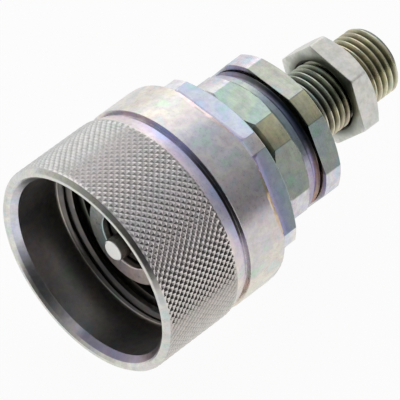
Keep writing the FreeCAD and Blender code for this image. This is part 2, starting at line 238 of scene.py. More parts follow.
# Profiles are (station, radius) points.
MOUTH_LIP = [(0.0, 25.35), (0.0, 26.17), (0.06, 26.26), (0.12, 26.36), (0.9, KNURL_EDGE_R - 0.08)]
BEVEL = [(22.62, 26.95), (22.72, 26.84), (24.2, 26.5), (25.72, 26.25), (GROOVE_FROM, 26.12)]
GROOVE = [(GROOVE_FROM, GROOVE_R), (GROOVE_TO, GROOVE_R), (BAND_FROM, 25.5)]
GROOVE_WALL = [(BAND_FROM, 25.5), (BAND_FROM, 25.65), (BAND_FROM, 26.7), (BAND_FROM, 26.83)]
BAND_START = [(BAND_FROM, 26.83), (27.08, BAND_R), (30.5, BAND_R)]
REAR_CHAMFER_R = 22.7
REAR_EDGE = [(-0.22, 0.0), (-0.08, -0.04), (0.04, -0.14)]
REAR_CHAMFER_FOOT = [(44.92, 22.78), (SLEEVE_END, 22.62)]
REAR_FACE = [(SLEEVE_END, 22.62), (SLEEVE_END, 22.4), (SLEEVE_END, 21.9)]
REAR_INSIDE = [
    (SLEEVE_END, 21.9), (44.6, 21.5), (41.4, 21.5), (41.4, 20.42), (41.34, 20.36), (37.91, 20.36),
    (37.85, 20.42), (37.85, 23.1), (27.0, 23.1),
]
MOUTH_INSIDE = [
    (14.6, 23.5), (14.5, 23.6), (2.35, 23.6), (2.25, 23.63), (0.76, 24.7), (0.62, 24.81),
    (0.06, 25.28), (0.0, 25.35),
]

# A thread's outline is (share of the pitch, radius) points.
INNER_THREAD = [
    (0.0625, 22.9), (0.16, 22.39), (0.2568, 21.89), (0.3512, 21.4),
    (0.6488, 21.4), (0.7432, 21.89), (0.84, 22.39), (0.9375, 22.9),
]
INNER_PITCH = 3.0
INNER_BASE = 11.6
INNER_FROM = 14.6
INNER_TO = 27.0
LEAD_IN_AT = [14.6, 15.1, 16.8]
LEAD_IN_R = [23.0, 22.4, 21.4]


def knurl(patches):
    """Crossing 45 degree grooves, which fade out at both ends, so the chamfers meet a clean line."""
    step = KNURL_CELL / PER_CELL
    low = math.ceil((KNURL_FROM - KNURL_START) / step + KNURL_MARGIN)
    high = math.floor((KNURL_TO - KNURL_START) / step - KNURL_MARGIN)
    i, j = np.meshgrid(np.arange(low, high + 1), np.arange(SLEEVE_COLS), indexing="ij")
    half = PER_CELL / 2
    cuts = []
    for share, line in zip(CUT_DEPTHS, (i + j, i - j)):
        off = np.abs((line + half) % PER_CELL - half) / half
        cuts.append(share * (1 - np.minimum(off / CUT_WIDTH, 1)))
    stations = KNURL_START + step * i
    edge = np.minimum(stations - KNURL_FROM, KNURL_TO - stations)
    depth = KNURL_DEPTH * np.interp(edge, FADE_AT, FADE_TO)
    radii = KNURL_R - depth * np.maximum(*cuts)
    angles = math.radians(KNURL_TURN) + 2 * math.pi * np.arange(SLEEVE_COLS) / SLEEVE_COLS
    patches.cells(stations, radii, np.broadcast_to(angles, radii.shape),
                  lambda r, c: (r + low - c) % PER_CELL < 1)
    return stations[0, 0], radii[0], stations[-1, 0], radii[-1], angles


def run_in_from(cos_flat):
    """Station at which the flats and the cone between them leave the band."""
    return np.minimum(CONE_FROM, FLAT_FROM + (SLEEVE_FLAT - BAND_R * cos_flat) / RUN_IN_SLOPE)


def run_in_line(from_flat):
    """Length of the bright line where a flat of the sleeve's hexagon runs out into the band."""
    return LINE_AT_CORNER + LINE_AT_FLAT * np.maximum(np.cos(3 * from_flat), 0) ** 2


def hexagon_side(station, cos_flat):
    """Radius of the sleeve's side between the band and the hexagon."""
    station = np.broadcast_to(station, cos_flat.shape)
    ahead = FLAT_FROM - station
    sunk = np.clip(ahead + RUN_IN_FILLET, 0, None)
    bow = FILLET_REACH - np.sqrt(np.maximum(FILLET_REACH ** 2 - sunk ** 2, 0))
    rise = np.where(ahead > FILLET_FOOT, np.maximum(ahead, bow), bow) * RUN_IN_SLOPE
    rise = np.where(ahead < -RUN_IN_FILLET, 0, rise)
    flat = (SLEEVE_FLAT + rise) / cos_flat
    cone = np.maximum(SLEEVE_CORNER, CONE_FROM + BAND_R - station)
    return np.minimum(np.minimum(flat, BAND_R), cone)


def lead_in(station, radius):
    """The inner thread's crests start low at its front end."""
    return np.maximum(radius, np.interp(station, LEAD_IN_AT, LEAD_IN_R))


def sleeve():
    p = Patches()
    first_s, first, last_s, last, plain = knurl(p)
    turned, from_flat = hex_columns(SLEEVE_COLS, SLEEVE_CORNER_AT, SLEEVE_HALF_ROUND)
    cos_flat = np.cos(from_flat)
    p.lathe(MOUTH_LIP + [(KNURL_FROM, KNURL_EDGE_R), (first_s, first)], plain)
    p.lathe([(last_s, last), (KNURL_TO, KNURL_EDGE_R)] + BEVEL + GROOVE, plain)
    p.lathe(GROOVE_WALL, np.stack([plain, plain, turned, turned]))

    start = run_in_from(cos_flat)
    edge = start + run_in_line(from_flat)
    foot = np.maximum(FLAT_FROM - FILLET_FOOT, edge)
    stations = [start, (start + edge) / 2, edge - LINE_SHARP, edge, edge + (foot - edge) * 0.5, foot]
    stations += [foot + (FLAT_FROM + RUN_IN_FILLET - foot) * t for t in FILLET_ROWS]
    ring = np.minimum(SLEEVE_FLAT / cos_flat, SLEEVE_CORNER)
    rear = SLEEVE_END - (ring - REAR_CHAMFER_R) * TAN30
    rows = BAND_START + [(start - LINE_GUARD, BAND_R)]
    rows += [(s, hexagon_side(s, cos_flat)) for s in stations]
    rows += shifted(rear, ring, REAR_EDGE)
    p.lathe(rows + REAR_CHAMFER_FOOT, turned)

    down = plain[::-1]
    inner_s, inner_r = helix(INNER_THREAD, INNER_PITCH, INNER_BASE, INNER_FROM, INNER_TO, down, lead_in)
    p.grid(inner_s, inner_r, down, shift=len(INNER_THREAD))
    p.lathe(REAR_FACE, np.stack([turned, turned, plain]))
    p.lathe(REAR_INSIDE + [(INNER_TO, inner_r[-1][::-1])], plain)
    p.lathe([(INNER_FROM, inner_r[0][::-1])] + MOUTH_INSIDE, plain)
    return p.build("sleeve_knurled")


# The body and the adapter, which have hexagons of one size.
HEX_COLS = 288
HEX_CORNER_AT = 56.8
HEX_HALF_ROUND = 10.95
HEX_FLAT = 19.0
HEX_CORNER = 20.1

BODY_FRONT = [
    (13.5, 7.7), (13.5, 11.58), (13.52, 11.62), (14.08, 12.18), (14.14, 12.2), (31.0, 12.2),
    (31.0, 20.7), (31.5, 21.2), (36.4, 21.2), (36.4, 20.3), (38.2, 20.3), (38.2, 18.49),
    (40.6, 18.49), (40.6, 20.3), (41.43, 20.3), (41.43, 19.28), (43.37, 19.28), (43.37, 20.3),
    (46.0, 20.3), (46.35, 18.95),
]
BODY_CONE_FROM = 46.4
BODY_CONE_R = 18.9
BODY_CONE_SLOPE = 1.25

# The row half-way up the front cone lies a little below the straight line.
BODY_HALF_WAY = (-0.1, -0.12)
BODY_FRONT_EDGE = [(-0.03, -0.03), (0.08, 0.0)]
BODY_HEX_END = 54.4
BODY_REAR_EDGE = [(-0.08, 0.0), (0.04, -0.06)]
BOSS_START = [(54.46, 19.0), (55.95, 19.0)]
BOSS_FROM = 55.95
BOSS_LENGTH = 2.3
BOSS_R = 18.98
BOSS_WAIST = 1.28
BOSS_TAPER = 0.4
BOSS_ROUND = 0.8
BOSS_STEPS = (0.02, 0.05, 0.1, 0.16, 0.24, 0.32, 0.4, 0.5, 0.6, 0.7, 0.8, 0.88, 0.94, 0.98, 1.0)
BODY_INSIDE = [
    (58.42, 18.58), (58.5, 18.5), (58.5, 13.2), (50.4, 13.2), (50.4, 12.5), (43.0, 12.5),
    (43.0, 11.4), (34.3, 11.4), (32.5, 9.6), (17.9, 9.6), (15.6, 7.3), (13.9, 7.3),
    (13.6, 7.42), (13.5, 7.7),
]

STUD_R = 8.95
STUD_ROOT = 7.85
STUD_MIDDLE = (STUD_R + STUD_ROOT) / 2
RELIEF_R = 7.81
STUD_THREAD = [
    (0.0625, STUD_ROOT), (0.237, STUD_MIDDLE), (0.4115, STUD_R - 0.02),
    (0.5885, STUD_R - 0.02), (0.763, STUD_MIDDLE), (0.9375, STUD_ROOT),
]
STUD_PITCH = 1.82
STUD_BASE = 65.25
STUD_FROM = 66.8
STUD_END = 96.2
STUD_ENDS_AT = [STUD_FROM, 67.94, 95.3, STUD_END]
STUD_ENDS_R = [RELIEF_R, STUD_R, STUD_R, 8.05]

ADAPTER_FRONT = [
    (46.0, 8.6), (46.0, 12.48), (46.87, 12.48), (46.87, 10.68), (49.7, 10.68), (49.7, 12.48),
    (50.42, 12.48), (50.42, 13.2), (58.5, 13.2), (58.5, 16.75), (58.95, 16.8), (59.0, 16.85),
]
ADAPTER_HEX_FROM = 59.0
ADAPTER_FRONT_EDGE = [(0.0, -0.08), (0.08, 0.0)]
ADAPTER_REAR_R = 18.7
ADAPTER_REAR_EDGE = [(-0.06, 0.0), (0.05, -0.08)]
ADAPTER_SHOULDER = [
    (64.55, 18.75), (64.6, 18.65), (64.6, 18.2), (64.6, RELIEF_R + 0.4), (64.6, RELIEF_R),
    (STUD_FROM, RELIEF_R),
]
ADAPTER_INSIDE = [
    (96.2, 7.25), (96.1, 7.13), (91.02, 6.05), (84.2, 6.05), (84.2, 5.1), (84.1, 5.0),
    (60.6, 5.0), (57.0, 8.6), (46.0, 8.6),
]


def hexagon():
    """Column angles of the body and the adapter, and the radius of their hexagons there."""
    angles, from_flat = hex_columns(HEX_COLS, HEX_CORNER_AT, HEX_HALF_ROUND)
    return angles, np.minimum(HEX_FLAT / np.cos(from_flat), HEX_CORNER)


def body():
    p = Patches()
    angles, ring = hexagon()
    front = BODY_CONE_FROM + (ring - BODY_CONE_R) * BODY_CONE_SLOPE
    rear = BODY_HEX_END - (ring - HEX_FLAT)
    boss = [
        (BOSS_FROM + BOSS_LENGTH * t,
         BOSS_R - BOSS_WAIST * math.sin(math.pi * t) ** BOSS_ROUND - BOSS_TAPER * t)
        for t in BOSS_STEPS
    ]
    p.lathe(
        BODY_FRONT
        + shifted((front + BODY_CONE_FROM) / 2, (ring + BODY_CONE_R) / 2, [BODY_HALF_WAY])
        + shifted(front, ring, BODY_FRONT_EDGE)
        + shifted(rear, ring, BODY_REAR_EDGE)
        + BOSS_START + boss + BODY_INSIDE,
        angles,
    )
    return p.build("body_turned")


def stud_ends(station, radius):
    """The stud's thread rises from the relief and ends in a chamfer."""
    return np.minimum(radius, np.interp(station, STUD_ENDS_AT, STUD_ENDS_R))


def adapter():
    p = Patches()
    angles, ring = hexagon()
    rear = SHOULDER_AT - (ring - ADAPTER_REAR_R) * TAN30
    down = angles[::-1]
    stud_s, stud_r = helix(STUD_THREAD, STUD_PITCH, STUD_BASE, STUD_FROM, STUD_END, down, stud_ends)
    p.grid(stud_s, stud_r, down, shift=len(STUD_THREAD))
    p.lathe(
        ADAPTER_FRONT
        + shifted(ADAPTER_HEX_FROM, ring, ADAPTER_FRONT_EDGE)
        + shifted(rear, ring, ADAPTER_REAR_EDGE)
        + ADAPTER_SHOULDER + [(STUD_FROM, stud_r[0][::-1])],
        angles,
    )
    p.lathe([(STUD_END, stud_r[-1][::-1])] + ADAPTER_INSIDE, angles)
    return p.build("adapter_threaded")


# The locknut.
NUT_COLS = 288
NUT_CORNER_AT = 50.6
NUT_FLAT = 12.0
NUT_CORNER = 13.80
NUT_FRONT = 79.0
NUT_REAR = 85.0
NUT_REAR_R = 11.7
NUT_FRONT_R = 13.6
NUT_FRONT_SLOPE = 0.6
NUT_FACE = [(79.5, 9.01), (79.0, 9.6), (79.0, 9.72), (79.0, 10.3), (79.0, 11.4)]
NUT_FACE_EDGE = 0.22
NUT_FRONT_EDGE = [(0.03, -0.07), (0.14, 0.0)]
NUT_REAR_EDGE = [(-0.1, 0.0), (0.03, -0.07)]
NUT_INSIDE = [(84.97, 11.8), (85.0, 11.65), (85.0, 9.6), (84.5, 9.01), (79.5, 9.01)]


def locknut():
    p = Patches()
    angles, from_flat = hex_columns(NUT_COLS, NUT_CORNER_AT, 0.0)
    ring = np.minimum(NUT_FLAT / np.cos(from_flat), NUT_CORNER)
    rear = NUT_REAR - np.maximum(ring - NUT_REAR_R, 0) * TAN30
    front = NUT_FRONT + np.maximum(ring - NUT_FRONT_R, 0) * NUT_FRONT_SLOPE
    p.lathe(
        NUT_FACE + [(NUT_FRONT, ring - NUT_FACE_EDGE)]
        + shifted(front, ring, NUT_FRONT_EDGE)
        + shifted(rear, ring, NUT_REAR_EDGE)
        + NUT_INSIDE,
        angles,
    )
    return p.build("locknut_milled")


# The valve spring.
SPRING_R = 5.6
SPRING_WIRE_R = 0.65
SPRING_TURNS = 7
STEPS_A_TURN = 30
STEPS_ROUND_WIRE = 12


def spring():
    """The solid's open coil as a piece of its own, because it shortens when the poppet is pushed in."""
    low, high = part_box("valve_spring")
    turn = np.linspace(0, 2 * math.pi * SPRING_TURNS, STEPS_A_TURN * SPRING_TURNS + 1)[:, None]
    section = 2 * math.pi * np.arange(STEPS_ROUND_WIRE)[None, :] / STEPS_ROUND_WIRE
    radius = SPRING_R + SPRING_WIRE_R * np.cos(section) + 0 * turn
    first = low[1] / MM + SPRING_WIRE_R
    last = high[1] / MM - SPRING_WIRE_R
    along = first + (last - first) * turn / turn[-1] + SPRING_WIRE_R * np.sin(section)
    p = Patches()
    index = p.add(along + SHOULDER_AT, radius, -turn)
    k = (np.arange(STEPS_ROUND_WIRE) + 1) % STEPS_ROUND_WIRE
    a, b = index[:-1], index[1:]
    p.faces.append(np.stack([a, b, b[:, k], a[:, k]], -1).reshape(-1, 4))
    p.faces.append([index[0], index[-1]])
    coil = p.build("spring_coil", sharp_deg=50.0)
    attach(coil, "body")
    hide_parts("valve_spring")
    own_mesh(coil)
    return coil


# Materials. The scale of a noise is per millimetre, and BUMP_HEIGHT is in metres.
KNURL_ROUGHNESS = 0.20
ADAPTER_ROUGHNESS = 0.24
SLEEVE_ROUGHNESS = 0.30
BODY_ROUGHNESS = 0.30
INSIDE_ROUGHNESS = 0.32
NUT_ROUGHNESS = 0.34
UNEVEN = 0.2

# Each noise is its scale, its detail and its roughness, and AT is where its shade starts and ends.
CLOUD_NOISE = (0.17, 4, 0.52)
SMUDGE_NOISE = (0.45, 3, 0.6)
SMUDGE_AT = (0.36, 0.58)
SPECK_NOISE = (1.1, 5, 0.65)
SPECK_AT = (0.25, 0.62)
TURNED_NOISE = (5.0, 2, 0.5)
TURNED_AT = (0.35, 0.6)
TURNED_STRETCH = (0.03, 1.0, 0.03)
PLAIN_NOISE = (1.5, 4, 0.6)
PLAIN_AT = (0.3, 0.7)

WHITE = (1.0, 1.0, 1.0)
CLOUDS = [
    (0.32, (0.74, 0.97, 0.86)), (0.41, (0.90, 0.86, 1.00)), (0.50, (1.0, 1.0, 0.92)),
    (0.57, (1.0, 0.86, 0.92)), (0.66, (0.80, 0.92, 1.0)),
]
KNURL_CLOUD_SHARE = 0.3
SPECK_SHADE = (0.82, 0.82, 0.82)
STAIN_GREEN = 0.85
PLAIN_DARK = 0.85
BUMP_STRENGTH = 0.08
BUMP_HEIGHT = 0.0001

# Shares of the piece's length: the pale face ends at the first, its side starts at the second.
TIP_SHARE = 0.012
TIP_END = 0.02


def nodes_of(name):
    mat = bpy.data.materials.new(name)
    mat.use_nodes = True
    tree = mat.node_tree
    tree.nodes.clear()
    out = tree.nodes.new("ShaderNodeOutputMaterial")
    shader = tree.nodes.new("ShaderNodeBsdfPrincipled")
    tree.links.new(shader.outputs[0], out.inputs[0])
    return mat, tree, shader


def place(tree, stretch=(1, 1, 1)):
    """The point on the piece in millimetres, stretched."""
    coord = tree.nodes.new("ShaderNodeTexCoord")
    mapping = tree.nodes.new("ShaderNodeMapping")
    mapping.inputs["Scale"].default_value = [k / MM for k in stretch]
    tree.links.new(coord.outputs["Object"], mapping.inputs["Vector"])
    return mapping.outputs[0]


def noise(tree, vector, scale, detail, rough):
    node = tree.nodes.new("ShaderNodeTexNoise")
    node.inputs["Scale"].default_value = scale
    node.inputs["Detail"].default_value = detail
    node.inputs["Roughness"].default_value = rough
    tree.links.new(vector, node.inputs["Vector"])
    return node.outputs["Fac"]


def ramp(tree, value, stops):
    node = tree.nodes.new("ShaderNodeValToRGB")
    elements = node.color_ramp.elements
    while len(elements) < len(stops):
        elements.new(0.5)
    for element, (at, colour) in zip(elements, stops):
        element.position = at
        element.color = (*colour, 1)
    tree.links.new(value, node.inputs[0])
    return node.outputs[0]


def fade(tree, value, at, dark, light):
    return ramp(tree, value, [(at[0], dark), (at[1], light)])


def multiply(tree, factor, a, b):
    """Colour a, multiplied by colour b in the share that factor gives."""
    node = tree.nodes.new("ShaderNodeMix")
    node.data_type = "RGBA"
    node.blend_type = "MULTIPLY"
    if isinstance(factor, float):
        node.inputs[0].default_value = factor
    else:
        tree.links.new(factor, node.inputs[0])
    tree.links.new(a, node.inputs[6])
    tree.links.new(b, node.inputs[7])
    return node.outputs[2]


def maths(tree, kind, *values):
    node = tree.nodes.new("ShaderNodeMath")
    node.operation = kind
    for socket, value in zip(node.inputs, values):
        if isinstance(value, float):
            socket.default_value = value
        else:
            tree.links.new(value, socket)
    return node.outputs[0]


def zinc(name, turned=0.0, cloudy=0.9, stained=0.16):
    """Iridescent zinc plate. The tint layer gives its base colour and, as alpha, its roughness.
    The clouds of colour fade where the roughness is the knurl's.
    turned, cloudy, stained: strength of the turned lines, the clouds and the smudges."""
    mat, tree, shader = nodes_of(name)
    tint = tree.nodes.new("ShaderNodeVertexColor")
    tint.layer_name = "tint"
    place_mm = place(tree)

    cloud_share = tree.nodes.new("ShaderNodeMapRange")
    cloud_share.inputs["From Min"].default_value = KNURL_ROUGHNESS
    cloud_share.inputs["From Max"].default_value = ADAPTER_ROUGHNESS
    cloud_share.inputs["To Min"].default_value = cloudy * KNURL_CLOUD_SHARE
    cloud_share.inputs["To Max"].default_value = cloudy
    tree.links.new(tint.outputs["Alpha"], cloud_share.inputs["Value"])
    hue = ramp(tree, noise(tree, place_mm, *CLOUD_NOISE), CLOUDS)
    colour = multiply(tree, cloud_share.outputs[0], tint.outputs[0], hue)

    stain = (1 - stained, 1 - stained * STAIN_GREEN, 1 - stained)
    smudges = noise(tree, place_mm, *SMUDGE_NOISE)
    colour = multiply(tree, 1.0, colour, fade(tree, smudges, SMUDGE_AT, stain, WHITE))
    fine = noise(tree, place_mm, *SPECK_NOISE)
    colour = multiply(tree, 1.0, colour, fade(tree, fine, SPECK_AT, SPECK_SHADE, WHITE))
    if turned:
        rings = noise(tree, place(tree, TURNED_STRETCH), *TURNED_NOISE)
        line = (1 - turned,) * 3
        colour = multiply(tree, 1.0, colour, fade(tree, rings, TURNED_AT, line, WHITE))
    tree.links.new(colour, shader.inputs["Base Color"])
    shader.inputs["Metallic"].default_value = 1.0

    uneven = maths(tree, "MULTIPLY_ADD", fine, UNEVEN, -UNEVEN / 2)
    rough = maths(tree, "ADD", tint.outputs["Alpha"], uneven)
    tree.links.new(rough, shader.inputs["Roughness"])
    bump = tree.nodes.new("ShaderNodeBump")
    bump.inputs["Strength"].default_value = BUMP_STRENGTH
    bump.inputs["Distance"].default_value = BUMP_HEIGHT
    tree.links.new(fine, bump.inputs["Height"])
    tree.links.new(bump.outputs[0], shader.inputs["Normal"])
    return mat


def plain(name, colour, metallic, roughness, tip=None):
    """One colour with faint shading. tip: the colour of the face at the very front of the piece."""
    mat, tree, shader = nodes_of(name)
    fine = noise(tree, place(tree), *PLAIN_NOISE)
    if tip:
        coord = tree.nodes.new("ShaderNodeTexCoord")
        axes = tree.nodes.new("ShaderNodeSeparateXYZ")
        tree.links.new(coord.outputs["Generated"], axes.inputs[0])
        shade = ramp(tree, axes.outputs["Y"], [(0.0, tip), (TIP_SHARE, tip), (TIP_END, colour)])
    else:
        darker = tuple(c * PLAIN_DARK for c in colour)
        shade = fade(tree, fine, PLAIN_AT, darker, colour)
    tree.links.new(shade, shader.inputs["Base Color"])
    shader.inputs["Metallic"].default_value = metallic
    rough = maths(tree, "MULTIPLY_ADD", fine, UNEVEN, roughness - UNEVEN / 2)
    tree.links.new(rough, shader.inputs["Roughness"])
    return mat


# Tints. Each vertex is painted by its station, its radius and its angle, in degrees from the corner
# at HEX_CORNER_AT. A table gives colours at some angles or stations, with straight lines between.
# A zone is a range of stations and a range of radii.
NEAR = 0.02
ROUND_MARGIN = 0.1
FAR = 1000.0


def zone(station, radius, limits):
    """True inside a zone."""
    (first, last), (inner, outer) = limits
    return (station > first) & (station < last) & (radius > inner) & (radius < outer)


def paint(obj, colour_of):
    """Fills the tint layer. colour_of(station, radius, angle) gives each vertex its colour and
    its roughness."""
    mesh = obj.data
    count = len(mesh.vertices)
    xyz = np.empty(count * 3)
    mesh.vertices.foreach_get("co", xyz)
    xyz = xyz.reshape(-1, 3) / MM
    station = xyz[:, 1] + SHOULDER_AT
    radius = np.hypot(xyz[:, 0], xyz[:, 2])
    angle = (np.degrees(np.arctan2(xyz[:, 2], xyz[:, 0])) - HEX_CORNER_AT + 180) % 360 - 180
    colour = np.ones((count, 4))
    colour[:, :3], colour[:, 3] = colour_of(station, radius, angle)
    layer = mesh.color_attributes.new("tint", "FLOAT_COLOR", "POINT")
    layer.data.foreach_set("color", colour.ravel())


def shades(x, stops):
    """Colours run in a straight line between (x, colour) stops."""
    at = [s[0] for s in stops]
    return np.stack([np.interp(x, at, [s[1][k] for s in stops]) for k in range(3)], -1)


def share(x, at, to):
    """A number for each point, as a column that multiplies its colour."""
    return np.interp(x, at, to)[:, None]


def blend(a, b, part):
    return a * (1 - part) + b * part


def facet(angle, corner, half_corner):
    """The middle of the hexagon's nearest flat, and True on its rounded corners."""
    middle = np.round((angle - corner - 30) / 60) * 60 + corner + 30
    return (middle + 180) % 360 - 180, np.abs(angle - middle) > 30 - half_corner + ROUND_MARGIN


def pick(colour, where, new):
    return np.where(where[:, None], new, colour)


# Colours round the knurl: plating hue with painted light and shade, lighter and darker by side.
KNURL_TINT = [
    (-90, (0.84, 0.80, 0.75)), (-54, (0.66, 0.61, 0.57)), (-38, (0.96, 0.90, 0.86)),
    (-25, (0.86, 0.80, 0.79)), (-12, (0.97, 0.90, 0.90)), (5, (0.78, 0.75, 0.76)),
    (22, (0.64, 0.61, 0.60)), (37, (0.71, 0.67, 0.67)), (52, (0.66, 0.65, 0.64)),
    (70, (0.66, 0.66, 0.65)),
]
BEHIND_KNURL = KNURL_TO + 0.1
BEVEL_MIX_AT = [22.9, 25.2]
# Painted shade in the knurl's pits, strongest low on the part.
KNURL_PIT_AT = [-60, -25, 10]
KNURL_PIT = [0.55, 0.42, 0.0]
# The bevel behind the knurl: plating hues, turning bluer and darker toward the groove. The darkening is
# painted shade.
BEVEL_TINT = [
    (-70, (1.0, 0.94, 0.82)), (-35, (0.92, 0.82, 0.80)), (-12, (0.78, 0.76, 0.88)),
    (5, (0.98, 0.86, 0.98)), (25, (0.96, 0.86, 0.90)), (45, (0.86, 0.78, 0.80)),
    (70, (0.98, 0.92, 0.80)),
]
BEVEL_END_TINT = [
    (-60, (0.96, 0.86, 0.84)), (-35, (0.66, 0.62, 0.84)), (0, (0.60, 0.64, 0.92)),
    (30, (0.66, 0.66, 0.98)), (55, (0.90, 0.80, 0.88)),
]
# Painted shade in the groove: between these angles it goes toward GROOVE_BLACK.
GROOVE_DARK_AT = [-40, -33, 8, 22]
GROOVE_DARK = [0, 1, 1, 0]
GROOVE_BLACK = 0.15
GROOVE_HUE = (0.98, 1.0, 1.05)
GROOVE_ZONE = ((GROOVE_FROM - NEAR, GROOVE_TO + NEAR), (0, GROOVE_R + 0.2))
# The band: plating hue with painted light and shade round the axis.
BAND_TINT = [
    (-75, (0.98, 0.96, 0.84)), (-42, (0.80, 0.76, 0.74)), (-28, (0.80, 0.76, 0.80)),
    (0, (1.0, 1.0, 1.0)), (20, (0.82, 0.82, 0.88)), (35, (0.77, 0.76, 0.74)),
    (50, (0.88, 0.84, 0.76)), (80, (0.90, 0.88, 0.84)),
]
MILLED_HEIGHT = BAND_R - SLEEVE_FLAT - 0.05
FLAT_TINT = (0.84, 0.86, 0.90)
# The flats that face down and up: plating hue with painted shade and light, the lower flat dark.
LOWER_FLAT_TINT = [
    (38.0, (0.50, 0.37, 0.58)), (39.6, (0.40, 0.36, 0.57)), (41.5, (0.37, 0.43, 0.56)),
    (43.5, (0.38, 0.47, 0.47)),
]
UPPER_FLAT_TINT = [
    (37.5, (0.90, 0.80, 0.92)), (39.0, (0.72, 0.72, 0.92)), (41.5, (0.54, 0.60, 0.70)),
    (44.0, (0.58, 0.66, 0.74)),
]
CORNER_TINT = [(38.0, (0.90, 0.90, 1.0)), (41.0, (0.95, 0.97, 1.0)), (43.0, (1.0, 0.95, 0.92))]
# The line at the head of a run-in: a painted highlight with plating hue.
LINE_TINT = [
    (-60, (0.84, 0.78, 0.74)), (-42, (0.80, 0.66, 0.50)), (-24, (0.90, 0.70, 0.46)),
    (-14, (0.92, 0.74, 0.62)), (0, (0.85, 0.76, 0.82)), (20, (1.0, 0.84, 0.86)),
    (60, (1.0, 0.86, 0.84)),
]
# A painted highlight along the rear edge of the sleeve's hexagon: from this station, above this radius
# and this depth below a flat, the colour is made brighter by this factor.
EDGE_HIGHLIGHT_FROM = 42.9
EDGE_HIGHLIGHT_R = REAR_CHAMFER_R + 0.2
EDGE_HIGHLIGHT_DEPTH = 0.12
EDGE_HIGHLIGHT = 1.08
# Inside the sleeve: painted shade, darker past the start of the thread. THREAD_START_TINT is a darker
# painted shade on the thread's first crests.
BORE_TINT = [
    (0.0, (0.78, 0.78, 0.84)), (2.3, (0.78, 0.78, 0.86)), (2.4, (0.84, 0.84, 0.80)),
    (14.4, (0.84, 0.82, 0.78)), (14.7, (0.50, 0.48, 0.44)), (16.9, (0.36, 0.35, 0.32)),
    (17.5, (0.34, 0.32, 0.28)), (45.0, (0.40, 0.38, 0.34)),
]
THREAD_START_TINT = (0.20, 0.19, 0.18)
# The lead-in chamfer of the mouth: painted shade on most of it, with a painted highlight from -164 to
# -157 degrees.
MOUTH_CHAMFER_TINT = [
    (-180, (0.52, 0.56, 0.54)), (-168, (0.75, 0.72, 0.74)), (-164, (1.0, 0.96, 1.0)),
    (-157, (1.0, 0.96, 1.0)), (-151, (0.42, 0.40, 0.52)), (-120, (0.36, 0.34, 0.46)),
    (-105, (0.52, 0.44, 0.50)), (-85, (0.50, 0.42, 0.42)), (85, (0.80, 0.80, 0.80)),
    (138, (0.84, 0.86, 0.96)), (150, (0.46, 0.46, 0.52)), (180, (0.52, 0.56, 0.54)),
]
# A painted highlight on the edge where the mouth's face meets its chamfer.
MOUTH_EDGE_TINT = (0.98, 0.99, 0.93)
MOUTH_FACE_TINT = (0.84, 0.86, 0.80)
# The rim's rounded lip: painted shade about the corner at 0.
RIM_TINT = [
    (-40, (0.84, 0.86, 0.80)), (-15, (0.52, 0.50, 0.48)), (15, (0.52, 0.50, 0.46)),
    (45, (0.64, 0.66, 0.56)), (70, (0.84, 0.86, 0.80)),
]
INSIDE_ZONES = (
    ((-FAR, 14.7), (0, 25.3)),
    ((-FAR, 38.0), (0, 24.2)),
    ((38.0, FAR), (0, 22.3)),
)
THREAD_START = ((14.55, 17.0), (0, 23.05))
MOUTH_CHAMFER = ((0.7, 2.3), (0, 24.75))
MOUTH_EDGE = ((-FAR, 0.7), (24.75, 25.4))
RIM = ((-FAR, 0.97), (26.2, FAR))
MOUTH_FACE = ((-FAR, 0.05), (25.3, 26.2))
KNURLED = ((KNURL_FROM - NEAR, BEHIND_KNURL), (26.0, FAR))


def tint_knurl(radius, angle):
    """Painted shade: the pits are darker than the crests, most of all low on the part. The colours
    round the axis are plating hue with painted light and shade.
    """
    pit = np.clip((KNURL_R - radius) / KNURL_DEPTH, 0, 1) ** 2
    return shades(angle, KNURL_TINT) * (1 - np.interp(angle, KNURL_PIT_AT, KNURL_PIT) * pit)[:, None]


def tint_hexagon_of_sleeve(colour, station, radius, angle):
    """Flats, painted lighter and darker above and below, the painted highlight at the head of their
    run-ins, rounded corners and a painted highlight along the rear edge.
    """
    middle, corner = facet(angle, SLEEVE_CORNER_AT - HEX_CORNER_AT, SLEEVE_HALF_ROUND)
    upper = SLEEVE_CORNER_AT - HEX_CORNER_AT + 30
    flat_hue_and_shade = np.tile(FLAT_TINT, (len(angle), 1))
    flat_hue_and_shade = pick(flat_hue_and_shade, np.abs(middle - upper + 60) < 1, shades(station, LOWER_FLAT_TINT))
    flat_hue_and_shade = pick(flat_hue_and_shade, np.abs(middle - upper) < 1, shades(station, UPPER_FLAT_TINT))
    from_flat = np.radians(angle - middle)
    height = radius * np.cos(from_flat) - SLEEVE_FLAT
    past = station - run_in_from(np.cos(from_flat))
    on_line = past < run_in_line(from_flat) - NEAR
    flat_hue_and_shade = pick(flat_hue_and_shade, on_line, shades(angle, LINE_TINT))
    milled = (past > -NEAR) & (height < MILLED_HEIGHT)
    colour = pick(colour, milled & (~corner | on_line), flat_hue_and_shade)
    colour = pick(colour, corner & (station > CONE_FROM - NEAR), shades(station, CORNER_TINT))
    # A painted highlight along the rear edge.
    edge = (station > EDGE_HIGHLIGHT_FROM) & (radius > EDGE_HIGHLIGHT_R) & (height > -EDGE_HIGHLIGHT_DEPTH)
    return pick(colour, edge, colour * EDGE_HIGHLIGHT)


